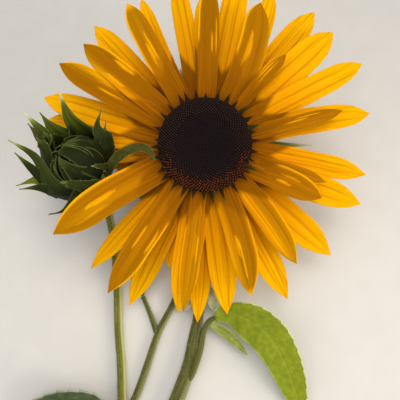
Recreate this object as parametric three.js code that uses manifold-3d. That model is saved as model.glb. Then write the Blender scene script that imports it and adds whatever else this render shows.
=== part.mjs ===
// Cut flowering top of a sunflower plant, lying on its stems: one open head, one bud, three stems
// from one fork, and the leaves near the head. Sizes in millimetres.
// It is drawn round the middle of the open head: X to the right, Y up the face of the head, Z
// straight out of the face. The last lines lean it back and set it on the ground.
import * as THREE from 'three';
import Module from 'manifold-3d';

const lean_back = 20;          // degrees between the face of the head and the ground
const head_height = 75;        // from the ground to the middle of the head's face
const rim = 36;                // radius of the disc, where the rays stand
const disc_rise = 7;           // height of the disc over the foot of its florets
const cup_depth = 33.2;        // green cup behind the disc, down to the neck
const ray_thick = 1.2;
const bract_thick = 1;
const leaf_thick = 1.1;
const bud_wide = 24.5;         // radius of the closed bud
const bud_below = 19;          // from the bud's middle down to its neck
const bud_above = 16.5;        // and up to its opening
const head_bracts = 16;
const chaff_tips = 26;
const closed_bracts = 9;

const wasm = await Module();
wasm.setup();
const at = (x, y, z) => new THREE.Vector3(x, y, z);
const turn = (degrees) => degrees * Math.PI / 180;
const fuse = (list) => list.reduce((whole, next) => whole.add(next));

// A value at t (0 to 1) from a list of values evenly spaced along it.
function along_list(list, t) {
  const place = t * (list.length - 1);
  const low = Math.min(Math.floor(place), list.length - 2);
  return list[low] + (list[low + 1] - list[low]) * (place - low);
}

// A closed body from points and triangles, turned the right way out.
function body(points, triangles) {
  const numbers = new Float32Array(points.length * 3);
  points.forEach((p, i) => numbers.set([p.x, p.y, p.z], i * 3));
  const made = new wasm.Manifold(new wasm.Mesh({
    numProp: 3, vertProperties: numbers, triVerts: new Uint32Array(triangles),
  }));
  return made.volume() < 0 ? body(points, [...triangles].reverse()) : made;
}

// A thin blade with a rim: place(t, x, s) gives the point at t along it (0 to 1), x across it
// (-1 to 1), on its upper face (s = 1) or its lower face (s = -1).
function blade(along, across, place) {
  const points = [];
  const triangles = [];
  const row = across + 1;
  for (const s of [1, -1]) {
    for (let i = 0; i <= along; i++) {
      for (let j = 0; j <= across; j++) points.push(place(i / along, 2 * j / across - 1, s));
    }
  }
  const lower = (along + 1) * row;
  const quad = (a, b, c, d) => triangles.push(a, b, c, a, c, d);
  for (let i = 0; i < along; i++) {
    for (let j = 0; j < across; j++) {
      const a = i * row + j;
      quad(a, a + row, a + row + 1, a + 1);
      quad(lower + a, lower + a + 1, lower + a + row + 1, lower + a + row);
    }
    const first = i * row;
    const last = first + across;
    quad(first, lower + first, lower + first + row, first + row);
    quad(last, last + row, lower + last + row, lower + last);
  }
  for (let j = 0; j < across; j++) {
    const end = along * row + j;
    quad(j, j + 1, lower + j + 1, lower + j);
    quad(end, lower + end, lower + end + 1, end + 1);
  }
  return body(points, triangles);
}

// A station of a stem: its middle and its radius. lying gives one whose stem rests on the ground at
// x to the right and y up the face.
const station = (x, y, z, r) => ({ middle: at(x, y, z), r });
function lying(x, y, r) {
  const lean = turn(lean_back);
  return station(x, y, -(head_height + Math.sin(lean) * y - r) / Math.cos(lean), r);
}

// A round stem through its stations with flat ends. start and stop say which share of it is made.
function stem(stations, along, sides, start = 0, stop = 1) {
  const line = new THREE.CatmullRomCurve3(stations.map((one) => one.middle), false, 'centripetal');
  const radii = stations.map((one) => one.r);
  const points = [];
  const triangles = [];
  let side = at(1, 0, 0);
  for (let i = 0; i <= along; i++) {
    const t = start + (stop - start) * i / along;
    const way = line.getTangent(t);
    side = side.clone().addScaledVector(way, -side.dot(way)).normalize();
    const over = way.clone().cross(side);
    const r = along_list(radii, t);
    for (let k = 0; k < sides; k++) {
      const a = 2 * Math.PI * k / sides;
      points.push(line.getPoint(t).addScaledVector(side, r * Math.cos(a)).addScaledVector(over, r * Math.sin(a)));
    }
  }
  for (let i = 0; i < along; i++) {
    for (let k = 0; k < sides; k++) {
      const a = i * sides + k;
      const b = i * sides + (k + 1) % sides;
      triangles.push(a, b, b + sides, a, b + sides, a + sides);
    }
  }
  const end = along * sides;
  for (let k = 1; k < sides - 1; k++) triangles.push(0, k + 1, k, end, end + k, end + k + 1);
  return body(points, triangles);
}

// Round shapes are told as radius and height in a frame: a middle, an axis and two directions
// square to the axis.
const head = { middle: at(0, 0, 0), axis: at(0, 0, 1), one: at(1, 0, 0), two: at(0, 1, 0) };
const bud = { middle: at(-97.6, -13.6, 6), axis: at(-0.64, 0.42, 0.64).normalize() };
bud.one = at(0.42, 0.64, 0).normalize();
bud.two = bud.axis.clone().cross(bud.one).normalize();
function on(frame, angle, radius, height) {
  return frame.middle.clone()
    .addScaledVector(frame.one, radius * Math.cos(angle))
    .addScaledVector(frame.two, radius * Math.sin(angle))
    .addScaledVector(frame.axis, height);
}

// A turned body, closed on its axis at both ends.
function turned(frame, profile, sides) {
  const points = [on(frame, 0, 0, profile[0][1])];
  const triangles = [];
  const rings = profile.slice(1, -1);
  rings.forEach(([r, h]) => {
    for (let k = 0; k < sides; k++) points.push(on(frame, 2 * Math.PI * k / sides, r, h));
  });
  points.push(on(frame, 0, 0, profile[profile.length - 1][1]));
  const top = points.length - 1;
  const last = 1 + (rings.length - 1) * sides;
  for (let k = 0; k < sides; k++) {
    const n = (k + 1) % sides;
    triangles.push(0, 1 + n, 1 + k, last + k, last + n, top);
    for (let i = 0; i < rings.length - 1; i++) {
      const a = 1 + i * sides;
      triangles.push(a + k, a + n, a + sides + n, a + k, a + sides + n, a + sides + k);
    }
  }
  return body(points, triangles);
}

// A hoop whose section has four corners, each a radius and a height.
function hoop(frame, corners, sides) {
  const points = [];
  const triangles = [];
  for (let k = 0; k < sides; k++) {
    for (const [r, h] of corners) points.push(on(frame, 2 * Math.PI * k / sides, r, h));
  }
  for (let k = 0; k < sides; k++) {
    const a = 4 * k;
    const b = 4 * ((k + 1) % sides);
    for (let c = 0; c < 4; c++) {
      const d = (c + 1) % 4;
      triangles.push(a + c, b + c, b + d, a + c, b + d, a + d);
    }
  }
  return body(points, triangles);
}

// One ray of the head: the degrees round the head where it stands, its reach from the middle of the
// head, its greatest width, the height its tip gains, and how far its tip swings to the left.
// base is its height at the rim and arch the swell of its middle.
function ray([angle, reach, width, tip, swing], base, arch) {
  const out = at(Math.cos(turn(angle)), Math.sin(turn(angle)), 0);
  const side = at(-out.y, out.x, 0);
  const widest = 0.6;
  return blade(8, 2, (t, x, s) => {
    const grow = 0.5 + 0.5 * Math.sin(Math.min(t / widest, 1) * Math.PI / 2);
    const narrow = 1 - Math.pow(Math.max(t - widest, 0) / (1 - widest), 2.4);
    const half = width / 2 * Math.max(grow * narrow, 0.05);
    const groove = 0.12 * half * Math.min(1, 3 * t) * (x * x - 1);
    const height = base + arch * Math.sin(Math.PI * t) + tip * Math.pow(t, 1.5) + groove;
    return out.clone().multiplyScalar(rim + (reach - rim) * t)
      .addScaledVector(side, x * half + swing * t * t)
      .add(at(0, 0, height + s * ray_thick / 2));
  });
}

// A whorl of rays on a thin hoop round the disc.
function whorl(rays, base, arch) {
  const ring = [[rim - 1.7, base - 1.2], [rim + 1.5, base - 1.2], [rim + 1.5, base + 1.2], [rim - 1.7, base + 1.2]];
  return fuse([hoop(head, ring, 30), ...rays.map((one) => ray(one, base, arch))]);
}
const front_rays = [
  [13.5, 107, 14, 6, 0], [48, 92, 10, 5, 0], [68, 116, 18, 8, 2], [88, 119, 16, 9, 1], [119, 121, 17, 8, 0],
  [140.7, 118, 19, 9, 0], [152.5, 125, 19, 9, 0], [209, 123, 27, 31, 4], [238, 132, 19, 12, 0],
  [263.5, 120, 14, 10, 0], [291.5, 118, 18, 10, -9], [313.5, 113, 19, 8, -12], [335.7, 97, 17, 7, 0],
  [342.5, 96, 11, 5, 0],
];
const middle_rays = [
  [11.3, 130, 22, -3, 0], [27.7, 138, 19, -3, 0], [51, 133, 21, -3, 0], [78.3, 136, 21, -2, 0],
  [91.5, 117, 12, -3, 0], [113.3, 129, 12, -3, 0], [132.9, 128, 17, -3, 0], [162.5, 130, 16, -8, 0],
  [226.7, 131, 15, -5, 0], [260.8, 131, 21, -2, 1], [277.3, 132, 16, -2, 0], [298.4, 132, 22, -2, 0],
  [339.5, 130, 22, -3, 0], [349.4, 126, 16, -3, 0],
];
const back_rays = [
  [41.4, 138, 25, -11, 0], [64.5, 139, 16, -12, 0], [100.2, 139, 17, -12, 0], [170.4, 129, 16, -16, 0],
  [179, 101, 14, -24, 0], [188.5, 97, 11, -26, 0], [245.8, 142, 20, -10, 0], [268, 140, 18, -8, 0],
  [319, 136, 22, -9, 0],
];

// Green bracts behind the rays, every other one longer. The one behind the bud is short, to clear
// the rays that bend back there.
const bract_hoop = [[30.3, -12.2], [36.5, -12.2], [36.5, -9.4], [30.3, -9.4]];
const behind_bud = 8;
function head_bract(k) {
  const long = k % 2 === 0 && k !== behind_bud;
  const reach = long ? 86 : 68;
  const width = long ? 13 : 11.5;
  const fall = long ? 13 : 11;
  const a = turn(358 + k * 360 / head_bracts);
  const out = at(Math.cos(a), Math.sin(a), 0);
  const side = at(-out.y, out.x, 0);
  const foot = rim - 1.5;
  return blade(5, 2, (t, x, s) => {
    const half = Math.max(width / 2 * Math.pow(1 - t, 0.75), 0.4);
    const height = -10.8 - fall * Math.pow(t, 0.9) + x * x * half * 0.12;
    return out.clone().multiplyScalar(foot + (reach - foot) * t).addScaledVector(side, x * half)
      .add(at(0, 0, height + s * bract_thick / 2));
  });
}

// Disc of florets, hollow in the middle like a saucer, with pointed chaff standing round its rim.
const disc_profile = [
  [0, 0.2], [rim - 0.4, 0.2], [rim + 0.4, 1.6], [rim - 0.8, 4.2], [31, disc_rise - 0.6], [24, disc_rise],
  [16, disc_rise - 0.8], [8, disc_rise - 1.8], [0, disc_rise - 2],
];
function chaff_tip(k) {
  const a = turn(k * 360 / chaff_tips + 4);
  return blade(1, 2, (t, x, s) => {
    const half = 2.4 * (1 - 0.9 * t);
    return on(head, a + x * half / rim, 33.8 + 6 * t, 3.4 + 1.2 * t + s * 0.45);
  });
}
const cup_profile = [
  [0, -cup_depth], [7.4, -cup_depth], [15, -28], [24, -20], [30, -12.6], [30, -9.1], [34, -8.9], [34, -0.1], [0, -0.1],
];

// The bud is an egg, flatter above than below. sweep runs from its neck (0) to its opening (180
// degrees), and bud_skin gives the radius and height there, lifted off the skin.
function bud_skin(sweep, lift) {
  const tall = sweep < 90 ? bud_below : bud_above;
  const across = Math.sin(turn(sweep));
  const rise = -Math.cos(turn(sweep));
  const length = Math.hypot(across / bud_wide, rise / tall);
  return [across * (bud_wide + lift / bud_wide / length), rise * (tall + lift / tall / length)];
}
const bud_profile = [];
for (let sweep = 0; sweep <= 180; sweep += 15) bud_profile.push(bud_skin(sweep, 0));

// A hoop round the foot of the bud between two sweeps, from one lift off its skin to another.
function bud_hoop(low, high, inner, outer) {
  return hoop(bud, [bud_skin(low, inner), bud_skin(low, outer), bud_skin(high, outer), bud_skin(high, inner)], 20);
}

// A bract that hugs the bud to its widest and then stands off it: the degrees round the bud, the
// radius and height of its tip, and its greatest width.
function open_bract([angle, tip_radius, tip_height, width]) {
  const foot = 38;
  const leave = 88;
  const widest = 0.42;
  return blade(5, 2, (t, x, s) => {
    const hug = Math.min(t / 0.4, 1);
    const go = Math.max((t - 0.4) / 0.6, 0);
    const [skin_radius, skin_height] = bud_skin(foot + (leave - foot) * hug, 2.7 + 1.3 * hug);
    const radius = skin_radius + (tip_radius - skin_radius) * Math.pow(go, 1.4);
    const height = skin_height + (tip_height - skin_height) * go;
    const swell = 0.55 + 0.45 * Math.sin(Math.min(t / widest, 1) * Math.PI / 2);
    const taper = Math.pow(1 - Math.max(t - widest, 0) / (1 - widest), 0.85);
    const half = Math.max(width / 2 * swell * taper, 0.35);
    return on(bud, turn(angle) + x * half / radius, radius + s * bract_thick / 2, height);
  });
}
const open_bracts = [
  [18, 40, 39, 15], [38, 34, 30, 13], [58, 30, 32, 13], [76, 35, 41, 13], [92, 29, 34, 12], [111, 36, 36, 13],
  [127, 33, 29, 12], [153, 43, 21, 14], [170, 42, 13, 14], [195, 43, 1, 13], [221, 34, 12, 14], [330, 33, 14, 14],
  [338, 40, 6, 13], [352, 43, 11, 14],
];

// Bracts that stay closed over the bud, their tips meeting over its opening.
function closed_bract(k) {
  const foot = 42;
  const stop = k % 2 === 0 ? 165 : 150;
  const a = turn(k * 360 / closed_bracts + 6);
  return blade(5, 2, (t, x, s) => {
    const [radius, height] = bud_skin(foot + (stop - foot) * t, 1.3 + 0.45 * s);
    const swell = 0.6 + 0.4 * Math.sin(Math.min(2 * t, 1) * Math.PI / 2);
    const taper = Math.pow(Math.min(2 - 2 * t, 1), 0.7);
    const half = Math.max(8.75 * swell * taper, 0.35);
    return on(bud, a + x * half / Math.max(radius, 6), radius, height);
  });
}

// A leaf along a line from its foot to its tip, with its half width at even steps, folded up along
// the midrib, and toothed along its edge.
function leaf({ line, half, fold, along, teeth = 0 }) {
  const path = new THREE.CatmullRomCurve3(line, false, 'centripetal');
  const face = at(0, 0, 1);
  return blade(along, 4, (t, x, s) => {
    const way = path.getTangent(t);
    const up = face.clone().addScaledVector(way, -face.dot(way)).normalize();
    const side = way.clone().cross(up);
    const tooth = Math.abs(x) === 1 ? teeth * (Math.round(t * along) % 2) : 0;
    const w = Math.max(along_list(half, t) + tooth, 0.5);
    return path.getPoint(t).addScaledVector(side, x * w)
      .addScaledVector(up, fold * Math.abs(x) * w + s * leaf_thick / 2);
  });
}
const resting = (x, y) => lying(x, y, leaf_thick / 2).middle;

// Stems, from the neck of each flower down to the cut. The bud's stem and the side stem each start
// on a fork that belongs to the stem that carries them.
const main_line = [
  station(0, 0, -cup_depth - 0.4, 6.6), station(0, 0, -45, 4.9), station(0, -8, -57, 4.5), station(-0.2, -20, -63, 4.4),
  lying(-0.3, -37, 4.3),
  lying(-0.5, -58, 4.2), lying(-0.4, -86, 4), lying(-3, -118, 4), lying(-5.8, -141, 4.2), lying(-9, -156, 4.8),
  lying(-13, -174.7, 5.4), lying(-19, -190.3, 5.8), lying(-24, -202, 6), lying(-31, -219, 6.2),
  lying(-38, -238, 6.5), lying(-45, -256, 6.8), lying(-50, -273, 6.8),
];
const bud_line = [
  lying(-44, -264, 4.4), lying(-51.5, -250, 4.1), lying(-58, -234, 3.7), lying(-61.8, -217.6, 3.5),
  lying(-64.5, -197.4, 3.4), lying(-66.8, -174.2, 3.4), lying(-70.7, -148.2, 3.3), lying(-73.7, -118.5, 3.3),
  station(-77, -93, -42.1, 3.3), station(-80.5, -70, -45, 3.2), station(-81.5, -53, -34, 3.3), station(-80.8, -39, -24, 3.5),
  station(-80.6, -27, -14, 3.8), station(-84.7, -22.1, -7.1, 4.2),
];
const side_line = [
  lying(-63, -217, 3), lying(-58.5, -206, 3), lying(-54, -196, 3), lying(-50, -186, 3), lying(-44.8, -170.8, 2.9),
  lying(-37.5, -150, 2.8), lying(-28.9, -134, 2.6), lying(-22, -120, 2.4), lying(-17, -106, 2.1),
];
const twig_line = [lying(-39, -152, 2.4), lying(-45, -138, 2.1), lying(-52, -124, 1.8)];
const bud_fork = 0.14;
const side_fork = 0.2;
const main_stem = stem(main_line, 30, 10).add(stem(bud_line, 5, 10, 0, bud_fork));
const bud_stem = stem(bud_line, 24, 8, bud_fork + 0.0016, 1).add(stem(side_line, 4, 8, 0, side_fork));
const side_stem = stem(side_line, 14, 8, side_fork + 0.003, 1).add(stem(twig_line, 5, 8));

// Leaves on the main stem: the large one at the right with its stalk, a narrow one under it, two
// young ones under the lowest rays, and two behind the head that reach the ground.
const right_stalk = stem([
  station(-7, -173, -5.9, 1.9), station(-3.4, -161, -12, 1.7), station(-0.6, -148, -16, 1.6), station(4, -140, -16.5, 1.6),
  station(12, -135.5, -15, 1.6), station(20, -134.5, -13.6, 1.4),
], 12, 8);
const right_blade = leaf({
  line: [
    at(8, -136, -14.5), at(19, -134, -13), at(35, -139, -7), at(49, -148.5, -2), at(59.5, -163, 0), at(67.5, -181, 0),
    at(73, -199, -1), resting(75, -219),
  ],
  half: [3, 8, 13, 14.5, 13.5, 11.5, 7, 0.5], fold: 0.2, along: 20, teeth: 1,
});
const small_leaf = leaf({
  line: [at(5.6, -142.6, -17.5), at(11, -145.5, -15), at(19, -150, -12), at(26.5, -157, -10), at(33.5, -165, -10)],
  half: [1, 2.6, 3.8, 2.8, 0.5], fold: 0.3, along: 8,
});
const crown_leaf_right = leaf({
  line: [at(0.1, -112, -30.3), at(4.5, -119, -24), at(9, -127, -20), at(12, -136, -20)],
  half: [1.2, 4, 5, 0.5], fold: 0.5, along: 6,
});
const crown_leaf_left = leaf({
  line: [at(-6.2, -118, -28.6), at(-11, -123, -24), at(-17, -128, -22), at(-24, -134, -24)],
  half: [1.2, 4, 5, 0.5], fold: 0.4, along: 6,
});
const back_left_leaf = leaf({
  line: [at(-5.5, -66, -50), at(-20, -52, -47), at(-42, -32, -50), at(-66, -12, -62), resting(-92, 12)],
  half: [2, 10, 17, 13, 0.5], fold: 0.1, along: 14, teeth: 1,
});
const back_right_leaf = leaf({
  line: [at(5, -76, -47), at(20, -62, -44), at(44, -44, -46), at(68, -28, -58), resting(92, -12)],
  half: [2, 10, 16, 12, 0.5], fold: 0.1, along: 14, teeth: 1,
});

// Leaves on the bud's stem and on the side stem.
const low_left_leaf = leaf({
  line: [
    at(-65.8, -212, 3.8), at(-75, -207, 8), at(-92, -201, 11), at(-112, -201, 10), at(-134, -207, 4), resting(-155, -216),
  ],
  half: [2, 12, 18, 16, 9, 0.5], fold: 0.15, along: 16, teeth: 1,
});
const side_leaf_one = leaf({
  line: [at(-16.8, -105.5, -39), at(-14, -95, -37), at(-18, -80, -36), at(-24, -66, -40)],
  half: [1.2, 6, 7, 0.5], fold: 0.3, along: 7,
});
const side_leaf_two = leaf({
  line: [at(-52.3, -123.4, -32.8), at(-55, -112, -33), at(-56, -98, -35), at(-54, -84, -39)],
  half: [1.2, 6, 7, 0.5], fold: 0.3, along: 7,
});

// Narrow leaf that curls from the bud's neck to the edge of the disc, over the rays.
const curled_leaf = leaf({
  line: [
    at(-76.4, -29, -12), at(-72.5, -23.5, -3), at(-66.5, -15.5, 6), at(-57, -8, 12.5), at(-47, -4, 14.5),
    at(-41, -7, 14.2), at(-38, -15, 12.4),
  ],
  half: [1, 2, 3.4, 4.6, 4, 2.6, 0.5], fold: 0.4, along: 11,
});

const every = (count, make) => Array.from({ length: count }, (_, k) => make(k));
const pieces = [
  ['main_stem', main_stem, 0x5f6a2c],
  ['bud_stem', bud_stem, 0x76793a],
  ['side_stem', side_stem, 0x4f5a28],
  ['receptacle', turned(head, cup_profile, 28), 0x55652c],
  ['head_bracts', fuse([hoop(head, bract_hoop, 30), ...every(head_bracts, head_bract)]), 0x5a6e2c],
  ['disc', fuse([turned(head, disc_profile, 30), ...every(chaff_tips, chaff_tip)]), 0x2a1a17],
  ['rays_front', whorl(front_rays, -1.5, 5), 0xc17d02],
  ['rays_middle', whorl(middle_rays, -4.3, 1.2), 0xf2ac05],
  ['rays_back', whorl(back_rays, -7.2, 0), 0xf4b006],
  ['bud_body', turned(bud, bud_profile, 24), 0x2e3a20],
  ['bud_closed_bracts', fuse([bud_hoop(38, 46, 0.8, 1.8), ...every(closed_bracts, closed_bract)]), 0x3a4522],
  ['bud_open_bracts', fuse([bud_hoop(34, 42, 2.1, 3.3), ...open_bracts.map(open_bract)]), 0x49602a],
  ['curled_leaf', curled_leaf, 0x5d5c20],
  ['right_leaf', right_blade.add(right_stalk), 0x8a9b26],
  ['small_leaf', small_leaf, 0x8c9a3c],
  ['low_left_leaf', low_left_leaf, 0x52633f],
  ['back_left_leaf', back_left_leaf, 0x66762c],
  ['back_right_leaf', back_right_leaf, 0x66762c],
  ['crown_leaf_right', crown_leaf_right, 0x9fab74],
  ['crown_leaf_left', crown_leaf_left, 0x9fab74],
  ['side_leaf_one', side_leaf_one, 0x6f8034],
  ['side_leaf_two', side_leaf_two, 0x6f8034],
];

const plant = new THREE.Group();
for (const [name, made, colour] of pieces) {
  const mesh = made.getMesh();
  const shape = new THREE.BufferGeometry();
  shape.setAttribute('position', new THREE.BufferAttribute(new Float32Array(mesh.vertProperties), 3));
  shape.setIndex(new THREE.BufferAttribute(new Uint32Array(mesh.triVerts), 1));
  shape.computeVertexNormals();
  const piece = new THREE.Mesh(shape, new THREE.MeshStandardMaterial({ color: colour, roughness: 0.7, metalness: 0 }));
  piece.name = name;
  plant.add(piece);
}

// Lean it back, and set it with its lowest point on the ground and the middle of its box over the
// origin.
plant.rotation.x = turn(lean_back);
const box = new THREE.Box3().setFromObject(plant, true);
const middle = box.getCenter(new THREE.Vector3());
plant.position.set(-middle.x, -middle.y, -box.min.z);

export default plant;
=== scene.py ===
import math
import bpy
import numpy as np
from mathutils import Matrix, Vector


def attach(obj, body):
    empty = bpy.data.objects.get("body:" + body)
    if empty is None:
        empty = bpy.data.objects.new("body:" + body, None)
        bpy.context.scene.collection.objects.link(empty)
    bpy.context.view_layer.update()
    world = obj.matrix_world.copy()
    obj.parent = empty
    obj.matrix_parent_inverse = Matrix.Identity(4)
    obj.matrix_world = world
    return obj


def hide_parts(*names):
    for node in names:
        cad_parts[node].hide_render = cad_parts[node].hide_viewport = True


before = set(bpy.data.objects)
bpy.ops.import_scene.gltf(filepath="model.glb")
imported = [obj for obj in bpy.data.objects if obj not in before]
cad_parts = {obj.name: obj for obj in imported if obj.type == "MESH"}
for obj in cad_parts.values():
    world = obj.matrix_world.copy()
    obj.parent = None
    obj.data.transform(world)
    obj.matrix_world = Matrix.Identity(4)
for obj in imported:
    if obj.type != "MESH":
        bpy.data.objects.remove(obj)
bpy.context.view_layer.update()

# Main stem
# The stalk of the open head, cut fresh: a green, ribbed stem with short bristles. It lies along the
# floor from its cut up to the bend under the neck, and a short fork near the cut carries the bud's
# stem.

# Every place is in millimetres round the middle of the head: X right, Y up its face and Z out of it.
# The part's frame is centred on the part's box, and has that middle at head_place.
lean_back = math.radians(20)
head_height = 75
head_place = np.array((13.8615, 66.0566, 75.2016))
lean = np.array(Matrix.Rotation(lean_back, 3, "X"))
floor_gap = 0.02


def lying(x, y, radius):
    """A station of a stem, or the radius over a point, that rests on the floor at x right and y up."""
    return (x, y, -(head_height + math.sin(lean_back) * y - radius) / math.cos(lean_back), radius)


def unit(ways):
    """The same directions, each of length 1."""
    return ways / np.maximum(np.linalg.norm(ways, axis=-1, keepdims=True), 1e-9)


def on_line(points, t):
    """The places and directions at t (0 to 1) along the smooth line through points."""
    ends = [2 * points[0] - points[1]], [2 * points[-1] - points[-2]]
    p = np.vstack([ends[0], points, ends[1]])
    spot = np.clip(t, 0, 1) * (len(points) - 1)
    i = np.minimum(spot.astype(int), len(points) - 2)
    w = (spot - i)[:, None]
    a, b, c, d = p[i], p[i + 1], p[i + 2], p[i + 3]
    ab, bc, cd = (np.linalg.norm(v - u, axis=1, keepdims=True) ** 0.5 for u, v in ((a, b), (b, c), (c, d)))
    leave = bc * ((b - a) / ab - (c - a) / (ab + bc) + (c - b) / bc)
    arrive = bc * ((c - b) / bc - (d - b) / (bc + cd) + (d - c) / cd)
    bend, twist = 3 * (c - b) - 2 * leave - arrive, 2 * (b - c) + leave + arrive
    way = leave + 2 * bend * w + 3 * twist * w ** 2
    return b + leave * w + bend * w ** 2 + twist * w ** 3, unit(way)


def along_stem(stations, t):
    """The places, directions and radii at t (0 to 1) along a stem."""
    line = np.array(stations, float)
    place, way = on_line(line[:, :3], t)
    return place, way, np.interp(t * (len(line) - 1), np.arange(len(line)), line[:, 3])


def run_along(points):
    """How far each point lies along the line through all of them."""
    return np.concatenate([[0], np.cumsum(np.linalg.norm(np.diff(points, axis=0), axis=1))])


def wall(first, rings, sides):
    """The four-cornered faces between rings of points, which are numbered on from first."""
    k = np.arange(sides)
    n = (k + 1) % sides
    rows = (first + np.arange(rings - 1) * sides)[:, None]
    return np.stack([rows + k, rows + n, rows + sides + n, rows + sides + k], 2).reshape(-1, 4)


def fan(*corners):
    """Three-cornered faces from the numbers of their corners, with -1 for the missing fourth."""
    return np.stack(np.broadcast_arrays(*corners, -1), 1)


groove = 0.06                  # how deep the grooves of a stem are, as a share of its radius


def tube(stations, along, sides, start=0, stop=1, ribs=9):
    """A ribbed stem through stations of x, y, z and radius, with closed ends. Its far end takes the
    second material."""
    place, way, radius = along_stem(stations, np.linspace(start, stop, along + 1))
    run = run_along(place)
    k = np.arange(sides)
    n = (k + 1) % sides
    angle = k * 2 * np.pi / sides
    flat = np.stack([np.cos(angle), np.sin(angle)], 1)
    ribbed = 1 - groove * (0.5 - 0.5 * np.cos(ribs * angle))
    side, rings, skins = np.array((1.0, 0, 0)), [], []
    for i in range(along + 1):
        side = side - way[i] * (side @ way[i])
        side /= np.linalg.norm(side)
        shape = flat * (radius[i] * ribbed)[:, None]
        rings.append(place[i] + shape @ np.stack([side, np.cross(way[i], side)]))
        skins.append(np.column_stack([flat * radius[i], np.full(sides, run[i])]))
    verts = np.vstack(rings + [place[:1], place[-1:]])
    skin = np.vstack(skins + [[[0, 0, 0]], [[0, 0, run[-1]]]])
    walls, last = wall(0, along + 1, sides), along * sides
    faces = np.vstack([walls, fan(n, k, len(verts) - 2), fan(last + k, last + n, len(verts) - 1)])
    share = np.zeros_like(verts)
    share[:, 0] = skin[:, 2] / run[-1]
    share[:last + sides, 1] = np.tile(np.cos(angle), along + 1)
    material = np.concatenate([np.zeros(len(walls) + sides, int), np.ones(sides, int)])
    return {"verts": verts, "faces": faces, "skin": skin, "share": share, "material": material}


def piece(name, parts, *materials):
    """One object from parts, each with its corners, faces, skin places and shares, and with the
    material of each face where it isn't the first. What would sink into the floor is pressed flat."""
    starts = np.cumsum([0] + [len(part["verts"]) for part in parts])
    verts = np.vstack([part["verts"] for part in parts]) @ lean.T + head_place
    verts[:, 2] = np.maximum(verts[:, 2], floor_gap)
    faces = np.vstack([
        np.where(part["faces"] < 0, -1, part["faces"] + start) for part, start in zip(parts, starts)
    ])
    of_face = [part.get("material", np.zeros(len(part["faces"]), int)) for part in parts]
    corners = (faces >= 0).sum(1)
    first_corner = np.concatenate([[0], np.cumsum(corners)[:-1]])
    mesh = bpy.data.meshes.new(name)
    mesh.vertices.add(len(verts))
    mesh.vertices.foreach_set("co", (verts / 1000).astype(np.float32).ravel())
    mesh.loops.add(int(corners.sum()))
    mesh.loops.foreach_set("vertex_index", faces[faces >= 0].astype(np.int32))
    mesh.polygons.add(len(faces))
    mesh.polygons.foreach_set("loop_start", first_corner.astype(np.int32))
    mesh.update(calc_edges=True)
    mesh.polygons.foreach_set("material_index", np.concatenate(of_face).astype(np.int32))
    mesh.polygons.foreach_set("use_smooth", np.ones(len(faces), bool))
    for kind in ("skin", "share"):
        values = np.vstack([part[kind] for part in parts])
        layer = mesh.attributes.new(kind, "FLOAT_VECTOR", "POINT")
        layer.data.foreach_set("vector", values.astype(np.float32).ravel())
    for material in materials:
        mesh.materials.append(material)
    mesh.validate()
    made = bpy.data.objects.new(name, mesh)
    bpy.context.scene.collection.objects.link(made)
    return made


def linear(colour):
    """An sRGB hex colour as linear numbers with alpha."""
    parts = [int(colour[i:i + 2], 16) / 255 for i in (1, 3, 5)]
    return [part / 12.92 if part <= 0.04045 else ((part + 0.055) / 1.055) ** 2.4 for part in parts] + [1]


def add(material, kind, sockets=None, stops=(), **settings):
    """Adds a node. sockets gives an input a value, an output, or a node whose first output it takes,
    and stops are the places and colours of a ramp. A mix of colours has its factor at input 0 and its
    colours at 6 and 7, and its result at output 2."""
    made = material.node_tree.nodes.new("ShaderNode" + kind)
    for name, value in settings.items():
        setattr(made, name, value)
    for name, value in (sockets or {}).items():
        if isinstance(value, bpy.types.Node):
            value = value.outputs[0]
        if isinstance(value, bpy.types.NodeSocket):
            material.node_tree.links.new(value, made.inputs[name])
        else:
            made.inputs[name].default_value = value
    if stops:
        line = made.color_ramp.elements
        line.remove(line[1])
        for place, colour in stops:
            spot = line[0] if place == stops[0][0] else line.new(place)
            spot.position, spot.color = place, linear(colour)
    return made


def blank(name):
    """A material with no nodes yet."""
    made = bpy.data.materials.new(name)
    made.use_nodes = True
    made.node_tree.nodes.clear()
    return made


def fresh_stem(name, dark, middle, light, sun_highlight):
    """Fresh green stem: a smooth, slightly waxy skin with paler ribs, streaked lengthwise, and with a
    painted highlight along its right side, where the sun catches its down."""
    made = blank(name)
    skin = add(made, "Attribute", attribute_name="skin").outputs["Vector"]
    share = add(made, "Attribute", attribute_name="share").outputs["Vector"]
    # Streaks are about 1 mm across and 25 mm long, and the bumps of the bristles' feet 0.8 mm wide.
    long = add(made, "Mapping", {"Vector": skin, "Scale": (1, 1, 0.04)})
    streak = add(made, "TexNoise", {"Vector": long, "Scale": 0.9, "Detail": 3.0, "Roughness": 0.6})
    grain = add(made, "TexNoise", {"Vector": skin, "Scale": 1.3, "Detail": 2.0})
    tone = add(made, "ValToRGB", {0: streak}, [(0.3, dark), (0.5, middle), (0.72, light)])
    # Painted highlight: the right side is mixed towards the pale sunlit colour.
    to_right = add(made, "SeparateXYZ", {0: share}).outputs[1]
    sun_side = add(made, "MapRange", {"Value": to_right, "From Min": 0.4, "From Max": 0.85, "To Max": 0.85})
    tone = add(made, "Mix", {0: sun_side, 6: tone, 7: linear(sun_highlight)}, data_type="RGBA").outputs[2]
    bump = add(made, "Bump", {"Height": grain, "Strength": 0.4, "Distance": 0.0003})
    look = {"Base Color": tone, "Normal": bump, "Roughness": 0.5, "Specular IOR Level": 0.15}
    add(made, "OutputMaterial", {"Surface": add(made, "BsdfPrincipled", look)})
    return made


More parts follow.
